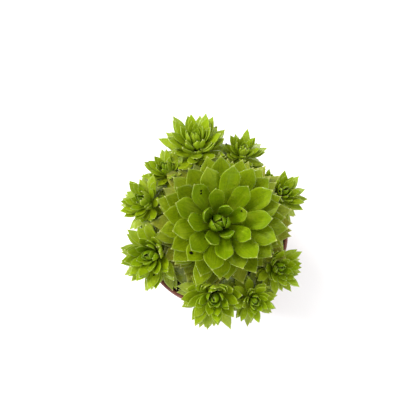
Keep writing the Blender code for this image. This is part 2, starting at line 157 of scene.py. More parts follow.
# %% A hand for wiring nodes
class Wiring:
    """Makes nodes in one tree, each call returning the node's output."""

    def __init__(self, tree):
        self.nodes = tree.nodes
        self.links = tree.links

    def add(self, kind, values=None, out=0, **settings):
        """One node: its settings, its inputs by name or number, and the output to hand back."""
        node = self.nodes.new(kind)
        for name, value in settings.items():
            setattr(node, name, value)
        for socket, value in (values or {}).items():
            if isinstance(value, bpy.types.NodeSocket):
                self.links.new(value, node.inputs[socket])
            else:
                node.inputs[socket].default_value = value
        return node.outputs[out]

    def math(self, operation, *values):
        """A number from numbers."""
        return self.add("ShaderNodeMath", dict(enumerate(values)), operation=operation)

    def times(self, first, *others):
        """A product of numbers."""
        for value in others:
            first = self.math("MULTIPLY", first, value)
        return first

    def plus(self, first, *others):
        """A sum of numbers."""
        for value in others:
            first = self.math("ADD", first, value)
        return first

    def vector(self, operation, *values):
        """A vector from vectors."""
        return self.add("ShaderNodeVectorMath", dict(enumerate(values)), operation=operation)

    def scale(self, vector, factor):
        """A vector times a number."""
        return self.add("ShaderNodeVectorMath", {0: vector, "Scale": factor}, operation="SCALE")

    def split(self, vector):
        """The three numbers of a vector."""
        return self.add("ShaderNodeSeparateXYZ", {0: vector}).node.outputs

    def smooth(self, value, low, high, start=0.0, end=1.0):
        """A soft step from start to end while the value goes from low to high."""
        return self.add("ShaderNodeMapRange", {0: value, 1: low, 2: high, 3: start, 4: end},
                        interpolation_type="SMOOTHSTEP")

    def curve(self, value, points):
        """A number read off a drawn curve."""
        node = self.nodes.new("ShaderNodeFloatCurve")
        line = node.mapping.curves[0]
        for x, y in points[1:-1]:
            line.points.new(x, y)
        line.points[0].location = points[0]
        line.points[-1].location = points[-1]
        for point in line.points:
            point.handle_type = "AUTO_CLAMPED"
        node.mapping.update()
        self.links.new(value, node.inputs["Value"])
        return node.outputs[0]

    def drawn(self, low, high, seed):
        """A random number for every point."""
        return self.add("FunctionNodeRandomValue", {2: low, 3: high, "Seed": seed}, out=1)

    def drawn_vector(self, low, high, seed):
        """A random vector for every point."""
        return self.add("FunctionNodeRandomValue", {0: low, 1: high, "Seed": seed},
                        data_type="FLOAT_VECTOR")

    def joined(self, *parts):
        """Several geometries as one."""
        node = self.nodes.new("GeometryNodeJoinGeometry")
        for part in parts:
            self.links.new(part, node.inputs[0])
        return node.outputs[0]


# %% [markdown]
# ## Where every leaf stands
#
# A houseleek's leaves leave the bud one by one, each turned by nearly the golden angle from the last.
# The older a leaf, the wider it has opened and the lower it sits. The solid model follows that rule,
# with a few seeded draws, and bends or shortens a leaf until it is clear of the pot and of the other
# rosettes. The same rule with the same numbers is written out here, so the fine leaves lie along the
# solid ones. Only the hen's bud is moved a little, further down.

# %% Sizes of the pot and the rosettes
GAP = 0.3 * MM
RIM_RADIUS = 32.5 * MM
LIP_HEIGHT = 4.0 * MM
LIP_STEP = 1.2 * MM
WALL = 1.2 * MM
FLOOR = 1.6 * MM
BASE_RADIUS = 22.5 * MM
DRAIN_RADIUS = 2.5 * MM
DRAIN_CIRCLE = 13.0 * MM
DRAIN_COUNT = 4
MIX_BELOW_RIM = 6.0 * MM
MIX_BUMP = 0.7 * MM
MIX_LUMP = 4.0 * MM
STEM_DEPTH = 8.0 * MM
INSIDE_RADIUS = 29.0 * MM
OUTSIDE_RADIUS = 34.5 * MM
CLEAR_OF_RIM = 0.8 * MM
CLEAR_OF_MIX = 3.0 * MM
LEAF_TURN = math.radians(-137.565)
SEED = 7

Rosette = namedtuple("Rosette", "name crown reach lean toward leaves first foot")
HEN = Rosette("hen", (2.8, 2.8, 9.6), 30.1, 8.0, -47.0, 62, 86.2, (2.0, 1.0))
CHICKS = (
    Rosette("chick_back", (-7.4, 32.5, 6.5), 17.5, 20.0, 103.0, 34, 20.0, (-5.5, 23.5)),
    Rosette("chick_back_right", (11.5, 31.0, 5.5), 12.0, 18.0, 70.0, 24, 80.0, (8.0, 22.0)),
    Rosette("chick_tiny", (22.3, 19.5, 4.0), 7.5, 18.0, 43.0, 14, 10.0, (18.5, 15.5)),
    Rosette("chick_right", (27.0, 13.6, 5.5), 12.5, 20.0, 25.0, 28, 140.0, (22.0, 9.5)),
    Rosette("chick_front_right", (24.5, -15.8, 5.0), 13.0, 20.0, -31.0, 28, 200.0, (19.5, -11.0)),
    Rosette("chick_front_small", (15.0, -28.3, 4.0), 12.0, 22.0, -60.0, 24, 60.0, (16.0, -19.5)),
    Rosette("chick_front", (-0.3, -25.5, 5.0), 17.0, 22.0, -86.0, 34, 300.0, (0.0, -19.5)),
    Rosette("chick_front_left", (-22.9, -10.2, 5.5), 17.0, 22.0, -150.0, 36, 110.0, (-19.5, -7.5)),
    Rosette("chick_left", (-26.7, 10.5, 5.0), 14.0, 20.0, 172.0, 26, 250.0, (-21.0, 8.5)),
    Rosette("chick_back_left", (-19.0, 23.0, 5.5), 12.5, 20.0, 130.0, 24, 330.0, (-14.5, 17.0)),
)
DOME_AXIS = (2.0 * MM, 1.4 * MM)
DOME_RADIUS = 30.5 * MM
DOME_WAIST = 14.0 * MM
DOME_RISE = 30.0 * MM
DOME_UNDERCUT = 1.0
SHARE_POWER = 1.5
SPHERE_ROOM = 1.08
STEM_ROOM = 1.5 * MM
OPENING = (2.5, 113.0)
OPENING_POWER = 0.56
OPENING_KNEE = 55.0
KNEE_UNDER_LIMIT = 0.8
OPENING_STEP = 2.0
BUD_LENGTH = 0.50
LEAF_LENGTH = 0.89
FULL_LENGTH_FROM = 0.32
LENGTH_POWER = 0.8
LENGTH_DRAW = (0.95, 1.04)
BUD_WIDTH = 0.55
BUD_THICKNESS = 0.8
FULL_WIDTH_FROM = 0.3
WIDTH_DRAW = (0.93, 1.06)
CROWN_HEIGHT = 0.50
HEART_HALF = 0.36
HEART_RISE = 0.18
ROOT_RADIUS = 0.05
CURL = (0.28, 0.03)
CUP = 0.16
ROOT_WIDTH = 0.46
SWELL_POWER = 1.5
TAPER_POWER = 1.7
DEPTH_POWER = 3
BEND_STEP = 3
CROWDED = ((12, 1.0), (15, 0.8), (15, 0.62), (18, 0.48), (40, 1.0), (50, 0.62))
SWAY = 1.5
Build = namedtuple("Build", "width thickness shoulder corners")
HEN_BUILD = Build(0.36, 0.18, 0.70, 4)
CHICK_BUILD = Build(0.37, 0.24, 0.58, 3)
TEST_STATIONS = (0.3, 0.45, 0.6, 0.75, 0.9, 1.0)
OLD_LEAVES = 12
OLD_STRETCH = 0.5
HEN_STEM = 3.0 * MM
CHICK_STEM = 0.085
STEM_SHOWS = 1.5 * MM
STEM_RISE = 3.8 * MM
STEM_SPANS = 4


# %% The crowns, their axes and the room that each rosette has
def blend(a, b, t):
    """The value a part t of the way from a to b."""
    return a + (b - a) * t


def wall_radius(height):
    """The pot's outer radius under the lip, at a height."""
    return blend(BASE_RADIUS, RIM_RADIUS - LIP_STEP, height / (RIM_HEIGHT - LIP_HEIGHT))


def mix_top(x, y):
    """The height of the potting mix's bumpy surface."""
    return RIM_HEIGHT - MIX_BELOW_RIM + MIX_BUMP * noise.noise(Vector((x, y, 0.0)) / MIX_LUMP)


def stem_radius(rosette):
    """The radius of a rosette's stem."""
    return HEN_STEM if rosette is HEN else CHICK_STEM * rosette.reach * MM


def crown_place(rosette):
    """Where the rosette's lowest leaves grow from."""
    x, y, rise = rosette.crown
    return Vector((x * MM, y * MM, RIM_HEIGHT + rise * MM))


def axis_frame(rosette):
    """The rosette's own frame: its axis is Z."""
    lean = Matrix.Rotation(math.radians(rosette.lean), 3, "Y")
    return Matrix.Rotation(math.radians(rosette.toward), 3, "Z") @ lean


def share(rosette, other):
    """The part of the way to the other rosette that belongs to this one."""
    own = rosette.reach ** SHARE_POWER
    return own / (own + other.reach ** SHARE_POWER)


def chick_walls(rosette, rosettes):
    """The planes between a chick and its neighbours: a point of each, and the normal to its side."""
    walls = []
    place = crown_place(rosette)
    for other in rosettes:
        way = crown_place(other) - place
        way.z = 0.0
        near = way.length < (rosette.reach + other.reach) * MM * SPHERE_ROOM
        if near and other not in (rosette, HEN):
            walls.append((place + way * share(rosette, other), -way.normalized()))
    return walls


def dome_radius(height):
    """The radius of the hen's dome at a height above the rim."""
    if height < DOME_WAIST:
        return DOME_RADIUS - (DOME_WAIST - height) * DOME_UNDERCUT
    return DOME_RADIUS * math.sqrt(max(0.0, 1.0 - ((height - DOME_WAIST) / DOME_RISE) ** 2))


def outside_dome(point):
    """How far a point lies outside the hen's dome, measured level."""
    from_axis = math.hypot(point.x - DOME_AXIS[0], point.y - DOME_AXIS[1])
    return from_axis - dome_radius(point.z - RIM_HEIGHT)


def stem_route(rosette):
    """Points along the stem, from its foot in the mix up and over to the crown."""
    foot = Vector((rosette.foot[0] * MM, rosette.foot[1] * MM, RIM_HEIGHT - MIX_BELOW_RIM))
    leave = foot + Vector((0.0, 0.0, STEM_SHOWS))
    crown = crown_place(rosette)
    axis = axis_frame(rosette) @ Vector((0.0, 0.0, 1.0))
    guides = (leave, leave + Vector((0.0, 0.0, STEM_RISE)), crown - axis * STEM_RISE,
              crown + axis * MM)
    points = [foot - Vector((0.0, 0.0, STEM_DEPTH)), leave]
    for i in range(1, STEM_SPANS + 1):
        t = i / STEM_SPANS
        weights = ((1 - t) ** 3, 3 * t * (1 - t) ** 2, 3 * t * t * (1 - t), t ** 3)
        points.append(sum((g * w for g, w in zip(guides, weights)), Vector()))
    return points


def clear_of_stem(point, rosette):
    """Whether a point keeps away from a rosette's stem."""
    route = stem_route(rosette)
    for start, end in zip(route, route[1:]):
        way = end - start
        along = min(1.0, max(0.0, (point - start).dot(way) / way.length_squared))
        if (start + way * along - point).length < stem_radius(rosette) + STEM_ROOM:
            return False
    return True


def clear_of_chick(point, chick):
    """Whether a point lies outside a chick's round of leaves, and away from its stem."""
    if (point - crown_place(chick)).length < chick.reach * MM * SPHERE_ROOM + GAP:
        return False
    return clear_of_stem(point, chick)


def clear_of_pot(point):
    """Whether a point keeps clear of the rim and the potting mix."""
    radius = math.hypot(point.x, point.y)
    if radius > OUTSIDE_RADIUS:
        return True
    if radius > INSIDE_RADIUS:
        return point.z > RIM_HEIGHT + CLEAR_OF_RIM
    return point.z > RIM_HEIGHT - MIX_BELOW_RIM + CLEAR_OF_MIX


def is_clear(rosette, point, walls, room):
    """Whether a point of the rosette keeps clear of the pot and of the other rosettes."""
    if not clear_of_pot(point):
        return False
    if rosette is HEN:
        return outside_dome(point) < -room or all(clear_of_chick(point, chick) for chick in CHICKS)
    if outside_dome(point) < room:
        return False
    return all((point - middle).dot(normal) > room for middle, normal in walls)


ROSETTES = (HEN, *CHICKS)
WALLS = {rosette.name: [] if rosette is HEN else chick_walls(rosette, ROSETTES)
         for rosette in ROSETTES}


# %% One leaf
class Leaf:
    """One leaf's place and sizes."""

    def __init__(self, rosette, age, turn, opening, rng, room=GAP):
        self.rosette = rosette
        self.build = HEN_BUILD if rosette is HEN else CHICK_BUILD
        self.frame = axis_frame(rosette)
        self.crown = crown_place(rosette)
        self.reach = rosette.reach * MM
        self.age = age
        self.turn = turn
        self.opening = opening
        self.room = room
        grown = min(1.0, age / FULL_LENGTH_FROM) ** LENGTH_POWER
        old = 1.0 + OLD_STRETCH * max(0.0, age - 1.0)
        wide = min(1.0, age / FULL_WIDTH_FROM)
        length = self.reach * blend(BUD_LENGTH, LEAF_LENGTH, grown) * old
        self.set_length(length * rng.uniform(*LENGTH_DRAW))
        full_width = self.reach * LEAF_LENGTH * self.build.width
        self.width = full_width * blend(BUD_WIDTH, 1.0, wide) * rng.uniform(*WIDTH_DRAW)
        self.thickness = full_width * self.build.thickness * blend(BUD_THICKNESS, 1.0, wide)

    def set_length(self, length):
        """Give the leaf a length, and the curl that goes with it."""
        self.length = length
        self.curl = blend(*CURL, min(1.0, self.age)) * length

    def axes(self):
        """The leaf's way out, its way across and the way that its upper face looks."""
        radial = Vector((math.cos(self.turn), math.sin(self.turn), 0.0))
        axis = Vector((0.0, 0.0, 1.0))
        out = radial * math.sin(self.opening) + axis * math.cos(self.opening)
        up = axis * math.sin(self.opening) - radial * math.cos(self.opening)
        return out, radial.cross(axis), up

    def root(self):
        """Where the leaf starts, in the rosette's frame."""
        radial = Vector((math.cos(self.turn), math.sin(self.turn), 0.0))
        height = self.reach * CROWN_HEIGHT * (1.0 - self.age)
        return Vector((0.0, 0.0, height)) + radial * self.reach * ROOT_RADIUS

    def section(self, along):
        """The blade's corners at a part of its length: left, under, right and, cupped, the top."""
        out, across, up = self.axes()
        spine = self.root() + out * self.length * along + up * self.curl * along * along
        half = self.width / 2 * half_width(along, self.build.shoulder, TAPER_POWER)
        depth = self.thickness * math.sqrt(max(0.0, 1.0 - along ** DEPTH_POWER))
        rim = up * (CUP * half)
        corners = (spine - across * half + rim, spine - up * depth,
                   spine + across * half + rim, spine)
        return [self.crown + self.frame @ corner for corner in corners[:self.build.corners]]

    def clear(self):
        """Whether the whole blade keeps clear of its neighbours, the rim and the mix."""
        return all(is_clear(self.rosette, corner, WALLS[self.rosette.name], self.room)
                   for along in TEST_STATIONS for corner in self.section(along))


def half_width(along, shoulder, taper):
    """The blade's half width as a part of the widest: narrow at the root, widest at the shoulder."""
    if along < shoulder:
        swell = math.sin(math.pi / 2 * along / shoulder)
        return blend(ROOT_WIDTH, 1.0, swell ** SWELL_POWER)
    return 1.0 - ((along - shoulder) / (1.0 - shoulder)) ** taper


# %% Room for a leaf, and the spiral of leaves
def widest_opening(rosette, turn):
    """How far the hen's lowest leaf can open on this side before it meets a neighbour."""
    if rosette is not HEN:
        return math.pi
    probe = Leaf(rosette, 1.0, turn, math.radians(OPENING[1]), random.Random(0))
    step = math.radians(OPENING_STEP)
    while probe.opening > step and not probe.clear():
        probe.opening -= step
    return probe.opening


def leaf_opening(age, limit):
    """A leaf's opening from the axis, with the older leaves pressed together under a low limit."""
    first, last = (math.radians(angle) for angle in OPENING)
    opening = blend(first, last, min(1.0, age) ** OPENING_POWER)
    knee = min(math.radians(OPENING_KNEE), limit * KNEE_UNDER_LIMIT)
    if opening <= knee:
        return opening
    return blend(knee, min(limit, last), (opening - knee) / (last - knee))


def bend_clear(leaf, most):
    """Bend a leaf up or down, as little as it takes to clear its neighbours, if it can be."""
    natural = leaf.opening
    for bend in range(0, most, BEND_STEP):
        for way in (-1.0, 1.0):
            leaf.opening = natural + way * math.radians(bend)
            if leaf.opening > 0.0 and leaf.clear():
                return True
    leaf.opening = natural
    return False


def grow_clear(leaf, crowded):
    """Keep a leaf shorter where its neighbours crowd it, and bent where that isn't enough."""
    full = leaf.length
    for most, part in crowded:
        leaf.set_length(full * part)
        if bend_clear(leaf, most):
            return True
    leaf.set_length(full)
    return False


def spiral_leaves(rosette, rng):
    """The spiral's leaves that find room, each grown clear of its neighbours, and the others."""
    grown, crowded_out = [], []
    for i in range(rosette.leaves + (OLD_LEAVES if rosette is HEN else 0)):
        age = i / (rosette.leaves - 1)
        turn = math.radians(rosette.first + rng.uniform(-SWAY, SWAY)) + i * LEAF_TURN
        opening = leaf_opening(age, widest_opening(rosette, turn))
        opening += math.radians(rng.uniform(-SWAY, SWAY))
        leaf = Leaf(rosette, age, turn, opening, rng)
        (grown if grow_clear(leaf, CROWDED) else crowded_out).append(leaf)
    return grown, crowded_out


# %% [markdown]
# ## Leaves between the leaves
#
# The solids carry only as many leaves as a small model can. A living rosette is fuller: between two
# leaves of the spiral stand others of nearly the same age, on its other sides. They are added here
# where they find room, in all of a chick and in the hen's bud and outer skirt, and all the leaves
# are drawn a little narrower for it. An added leaf may reach a few millimetres into the room of a
# neighbour, as crowded leaves do, so some of them cross.

# %% The fuller rosettes
Filling = namedtuple("Filling", "ages steps sway slimmer")
HEN_FILLING = Filling(((0.0, 0.055), (0.72, 1.30)), (0.5,), SWAY, 0.88)
CHICK_FILLING = Filling(((0.0, 1.25),), (0.38, 0.75), 9.0, 0.86)
ADDED_OVERLAP = 4.0 * MM
ADDED_LENGTHS = (0.84, 1.12)
MORE_CROWDED = CROWDED + ((75, 0.75), (90, 0.55), (90, 0.40), (90, 0.28))


def filling(rosette):
    """Which ages and steps of the spiral get more leaves, how they sway and how slim all are."""
    return HEN_FILLING if rosette is HEN else CHICK_FILLING


def added_leaves(rosette, crowded_out, rng):
    """The crowded leaves, kept small enough, and the ones between the leaves of the spiral."""
    fill = filling(rosette)
    added = [leaf for leaf in crowded_out if grow_clear(leaf, MORE_CROWDED)]
    counts = range(int(rosette.leaves * fill.ages[-1][1]))
    for place in (i + step for i in counts for step in fill.steps):
        age = place / (rosette.leaves - 1)
        if not any(first <= age <= last for first, last in fill.ages):
            continue
        turn = math.radians(rosette.first) + place * LEAF_TURN + place % 1.0 * math.tau
        limit = widest_opening(rosette, turn)
        turn += math.radians(rng.uniform(-fill.sway, fill.sway))
        opening = leaf_opening(age, limit) + math.radians(rng.uniform(-fill.sway, fill.sway))
        leaf = Leaf(rosette, age, turn, opening, rng, room=-ADDED_OVERLAP)
        leaf.length *= rng.uniform(*ADDED_LENGTHS)
        if grow_clear(leaf, MORE_CROWDED):
            added.append(leaf)
    return added


def all_leaves(rosette):
    """Every leaf of a rosette, by its own seed."""
    rng = random.Random(SEED + len(rosette.name) * 31 + rosette.leaves)
    grown, crowded_out = spiral_leaves(rosette, rng)
    return grown + added_leaves(rosette, crowded_out, rng)


LEAVES = {rosette.name: all_leaves(rosette) for rosette in ROSETTES}
print("leaves:", {name: len(leaves) for name, leaves in LEAVES.items()})

# %% [markdown]
# ## Leaf finishes
#
# A houseleek leaf is thick, waxy and a little translucent. The bud is a deep green; a leaf turns
# yellowish as it ages and opens. The margin is a thin pale line with a fringe of fine hairs, and the
# point is paler still. Each blade carries its own numbers on its mesh: how far along a point lies,
# how far across, whether it is on the underside, and the leaf's age. The colour is mixed from them,
# laid down in thin layers, as a painter would.


# %% A hand for finishes
def light_value(colour):
    """A colour as a shader takes it: a picture's three values, 0 to 255, are turned to light."""
    if len(colour) == 4:
        return colour
    return tuple(((c / 255 + 0.055) / 1.055) ** 2.4 if c > 10 else c / 255 / 12.92
                 for c in colour) + (1.0,)


class Finish(Wiring):
    """A material whose colour is laid down in layers; fixed sockets are the same all over."""

    def __init__(self, name, **fixed):
        self.surface = bpy.data.materials.new(name)
        self.surface.use_nodes = True
        super().__init__(self.surface.node_tree)
        self.shader = self.nodes["Principled BSDF"]
        for socket, value in fixed.items():
            self.shader.inputs[socket.replace("_", " ")].default_value = value
        self.place = self.add("ShaderNodeTexCoord", out="Object")
        self.base = None

    def carried(self, name):
        """A number that the mesh carries."""
        return self.add("ShaderNodeAttribute", out="Fac", attribute_name=name)

    def cloud(self, scale, detail=3.0, roughness=0.55, place=None):
        """Soft noise, from 0 to 1."""
        return self.add("ShaderNodeTexNoise", {"Vector": place or self.place, "Scale": scale,
                                               "Detail": detail, "Roughness": roughness})

    def ramp(self, value, stops):
        """Start with a colour read off a row of colours."""
        self.base = self.add("ShaderNodeValToRGB", {"Fac": value})
        row = self.base.node.color_ramp.elements
        while len(row) < len(stops):
            row.new(0.5)
        for element, (place, colour) in zip(row, stops):
            element.position = place
            element.color = light_value(colour)

    def start(self, part, first, second):
        """Start with two colours mixed."""
        self.base = light_value(first)
        self.over(part, second)

    def over(self, part, colour, way="MIX"):
        """Lay a colour over the base, as thick as the part from 0 to 1."""
        if isinstance(colour, tuple):
            colour = light_value(colour)
        self.base = self.add("ShaderNodeMix", {0: part, 6: self.base, 7: colour}, out=2,
                             data_type="RGBA", blend_type=way)

    def done(self, roughness=None, relief=()):
        """Wire in the colour, the roughness and layers of height, strength and depth."""
        normal = None
        for height, strength, depth in relief:
            values = {"Height": height, "Strength": strength, "Distance": depth}
            if normal is not None:
                values["Normal"] = normal
            normal = self.add("ShaderNodeBump", values)
        for name, value in (("Base Color", self.base), ("Roughness", roughness),
                            ("Normal", normal)):
            if value is not None:
                self.links.new(value, self.shader.inputs[name])
        return self.surface


# %% The leaf's finish
WAX = {"Subsurface_Weight": 0.12, "Subsurface_Scale": 0.0022, "Subsurface_Radius": (0.8, 1.0, 0.25),
       "Coat_Weight": 0.75, "Coat_Roughness": 0.20, "Specular_IOR_Level": 0.22, "IOR": 1.42}


def leaf_finish(name, ages, under, margin, tip):
    """Waxy leaf: colour by age, paler margins, points and undersides, faint lengthwise veins, and
    painted light that makes the leaves towards the back paler.
    """
    f = Finish(name, **WAX)
    age, along, cross = f.carried("age"), f.carried("along"), f.carried("cross")
    below, draw = f.carried("under"), f.carried("draw")
    f.ramp(f.times(age, 0.8), ages)
    f.over(f.smooth(f.cloud(420.0), 0.42, 0.75, 0.0, 0.45), (126, 140, 5))
    patches = f.cloud(130.0, 4.0, 0.6)
    f.over(f.smooth(patches, 0.50, 0.70, 0.0, 0.55), (148, 164, 34))
    f.over(f.smooth(patches, 0.46, 0.30, 0.0, 0.40), (84, 110, 2))
    # Painted light: leaves towards the back of the clump (+Y) are mixed paler, as if lit through from
    # behind.
    f.over(f.smooth(f.split(f.place)[1], 14 * MM, 40 * MM, 0.0, 0.45), (150, 172, 26))
    streaks = f.add("ShaderNodeCombineXYZ", {0: f.times(cross, 7.0), 1: f.times(along, 1.3),
                                             2: f.times(draw, 60.0)})
    vein = f.cloud(1.6, 2.0, place=streaks)
    f.over(f.smooth(vein, 0.35, 0.7, 0.0, 0.50), (0.55, 0.62, 0.35, 1.0), "MULTIPLY")
    tone = f.smooth(draw, 0.0, 1.0, 0.88, 1.08)
    f.over(1.0, f.add("ShaderNodeCombineColor", {0: tone, 1: tone, 2: tone}), "MULTIPLY")
    f.over(f.smooth(along, 0.45, 0.05, 0.0, 0.5), (124, 138, 30))
    f.over(f.times(below, f.smooth(age, 0.08, 0.35, 0.0, under[1])), under[0])
    edge = f.smooth(f.math("ABSOLUTE", cross), 0.92, 0.995)
    f.over(f.times(edge, margin[1]), margin[0])
    f.over(f.times(f.smooth(along, 0.94, 1.0, 0.0, tip[1]), f.smooth(age, 0.0, 0.15)), tip[0])
    wax = f.smooth(f.cloud(900.0, 2.0), 0.3, 0.7, 0.34, 0.50)
    return f.done(wax, ((patches, 0.55, 0.0016), (vein, 0.45, 0.0003),
                        (f.cloud(3800.0, 2.0), 0.10, 0.0001)))


hen_finish = leaf_finish(
    "hen leaf", ((0.0, (88, 122, 2)), (0.05, (100, 134, 2)), (0.13, (112, 140, 1)),
                 (0.36, (116, 137, 1)), (0.65, (120, 138, 3)), (0.95, (148, 148, 34))),
    under=((122, 140, 30), 0.5), margin=((150, 168, 50), 0.22), tip=((196, 196, 120), 0.6))
chick_finish = leaf_finish(
    "chick leaf", ((0.0, (104, 136, 1)), (0.12, (130, 156, 2)), (0.35, (140, 162, 6)),
                   (0.55, (146, 162, 18)), (0.8, (150, 164, 34))),
    under=((138, 156, 40), 0.5), margin=((170, 186, 84), 0.36), tip=((214, 210, 150), 0.75))


# %% The finishes of hairs and stems
def hair_finish():
    """Fine hairs: pale, thin and a little glossy."""
    f = Finish("leaf hair", Roughness=0.35, Subsurface_Weight=0.2, Subsurface_Scale=0.0008)
    f.start(f.cloud(300.0), (156, 172, 60), (192, 200, 110))
    return f.done()


def stem_finish():
    """A young stem: pale green over brown, ringed with old leaf scars."""
    f = Finish("stem", Subsurface_Weight=0.1, Subsurface_Scale=0.001)
    grain = f.cloud(700.0, 4.0)
    green = f.smooth(f.split(f.place)[2], RIM_HEIGHT - 2 * MM, RIM_HEIGHT + 6 * MM)
    f.start(green, (104, 78, 48), (118, 134, 52))
    f.over(f.smooth(grain, 0.45, 0.7, 0.0, 0.6), (70, 58, 30))
    rings = f.add("ShaderNodeTexWave", {"Vector": f.place, "Scale": 300.0, "Distortion": 3.0},
                  out=1, wave_type="BANDS", bands_direction="Z")
    return f.done(f.smooth(grain, 0.3, 0.7, 0.5, 0.8),
                  ((rings, 0.5, 0.0003), (grain, 0.5, 0.0002)))


HAIR_FINISH = hair_finish()
STEM_FINISH = stem_finish()
print("finishes of the plant:", len(bpy.data.materials))

# %% [markdown]
# ## The leaves, grown by a rule
#
# Dozens of leaves of one form are best made once and repeated. The mesh that goes in holds one loose
# point for each leaf, which carries the leaf's directions and sizes, and the rosette's heart and
# stem. The tree puts a flat grid on every point, makes the copies real, and then folds each grid into
# a closed blade with a formula: along the leaf, the half width follows a drawn outline; round the
# leaf, the section is cupped above and full below. The same formula places the fringe of hairs.

# %% The outline and the fullness of a blade
POINT_LENGTH = 0.06
POINT_FROM = 1.0 - POINT_LENGTH * 0.45
POINT_WIDTH = 0.085
ROOT_ROUND = 0.012
OUTLINE_STEPS = 12
HEN_OUTLINE = (HEN_BUILD.shoulder + 0.04, 2.0)
CHICK_OUTLINE = (CHICK_BUILD.shoulder + 0.09, 1.8)
DEPTH_POINTS = ((0.0, 0.0), (ROOT_ROUND, 0.9), (0.4, 0.98), (0.7, 0.82), (0.85, 0.60),
                (0.94, 0.34), (0.98, 0.16), (1.0, 0.0))


def outline_points(shoulder, taper):
    """The half width along the leaf, which ends in a small drawn-out point and closes at the root."""
    points = [(0.0, 0.0), (ROOT_ROUND, ROOT_WIDTH * 0.9)]
    for i in range(1, OUTLINE_STEPS + 1):
        along = i / OUTLINE_STEPS * (1.0 - POINT_LENGTH)
        points.append((along, half_width(along / POINT_FROM, shoulder, taper)))
    return points + [(POINT_FROM, POINT_WIDTH), (1.0, 0.0)]


# %% The formula of the blade
CUP_POWER = 1.7
LIFT_POWER = 7.0


def carried(w, name, kind="FLOAT"):
    """A value that the leaf's point carries."""
    return w.add("GeometryNodeInputNamedAttribute", {"Name": name}, data_type=kind)


def direction(w, name):
    """A direction or a place that the leaf's point carries."""
    return carried(w, name, "FLOAT_VECTOR")


def on_blade(w, along, angle, outline, inputs):
    """The place on a leaf for a part of its length and an angle round its section."""
    length, half, thick = w.split(direction(w, "sizes"))
    cross, lift = w.math("COSINE", angle), w.math("SINE", angle)
    wide = w.times(half, w.curve(along, outline))
    full = w.times(thick, w.curve(along, DEPTH_POINTS))
    squared = w.times(along, along)
    cup = w.times(wide, carried(w, "cup"), w.math("POWER", w.math("ABSOLUTE", cross), CUP_POWER))
    above = w.times(w.math("MAXIMUM", lift, 0.0), full, inputs["Top fullness"])
    below = w.times(w.math("MINIMUM", lift, 0.0), full)
    curl = w.times(carried(w, "curl"), squared)
    nod = w.times(length, inputs["Tip lift"], w.math("POWER", along, LIFT_POWER))
    sway = w.times(w.plus(carried(w, "draw"), -0.5), inputs["Sway"], length, squared)
    forward = w.scale(direction(w, "out"), w.times(length, along))
    sideways = w.scale(direction(w, "across"), w.plus(w.times(wide, cross), sway))
    place = w.vector("ADD", w.vector("ADD", direction(w, "root"), forward), sideways)
    rough = w.add("ShaderNodeTexNoise", {"Vector": place, "Scale": inputs["Ripple per metre"],
                                         "Detail": 1.0})
    ripple = w.times(w.plus(rough, -0.5), wide, inputs["Ripple"])
    height = w.plus(cup, above, below, curl, nod, ripple)
    return w.vector("ADD", place, w.scale(direction(w, "up"), height)), cross, lift


# %% The blades of a rosette
SIZES = {"Around": 16, "Along": 18, "Top fullness": 0.45, "Tip lift": 0.035, "Sway": 0.10,
         "Ripple": 0.16, "Ripple per metre": 160.0,
         "Hairs": 44, "Hair length": 0.45 * MM, "Hair radius": 0.045 * MM}
PACKED_TO_TIP = 1.25
SEAM = 0.002 * MM


def stored(w, geometry, **values):
    """A geometry that carries more values on its points."""
    for name, value in values.items():
        geometry = w.add("GeometryNodeStoreNamedAttribute",
                         {"Geometry": geometry, "Name": name, "Value": value}, data_type="FLOAT")
    return geometry


def copied(w, points, shape, **more):
    """A shape put on every point, as real mesh."""
    copies = w.add("GeometryNodeInstanceOnPoints", {"Points": points, "Instance": shape, **more})
    return w.add("GeometryNodeRealizeInstances", {0: copies})


def blades(w, points, outline, inputs, finish):
    """A closed, smooth blade on every leaf's point."""
    grid = w.add("GeometryNodeMeshGrid", {"Size X": 1.0, "Size Y": 1.0,
                                          "Vertices X": inputs["Around"],
                                          "Vertices Y": inputs["Along"]})
    x, y, _ = w.split(w.add("GeometryNodeInputPosition"))
    to_tip = w.math("SUBTRACT", 1.0, w.plus(y, 0.5))
    along = w.math("SUBTRACT", 1.0, w.math("POWER", to_tip, PACKED_TO_TIP))
    grid = stored(w, grid, angle=w.times(w.plus(x, 0.5), math.tau), along=along)
    real = copied(w, points, grid)
    place, cross, lift = on_blade(w, carried(w, "along"), carried(w, "angle"), outline, inputs)
    real = stored(w, real, cross=cross, under=w.smooth(lift, 0.1, -0.25))
    real = w.add("GeometryNodeSetPosition", {"Geometry": real, "Position": place})
    real = w.add("GeometryNodeMergeByDistance", {"Geometry": real, "Distance": SEAM})
    real = w.add("GeometryNodeSetShadeSmooth", {"Geometry": real})
    return w.add("GeometryNodeSetMaterial", {"Geometry": real, "Material": finish})


# %% The hairs of a rosette
HAIRS_FROM = 0.30
HAIR_FORWARD = 0.7
HAIR_UP = 0.25
HAIR_LEAN = 0.35
HAIR_LENGTHS = (0.55, 1.2)


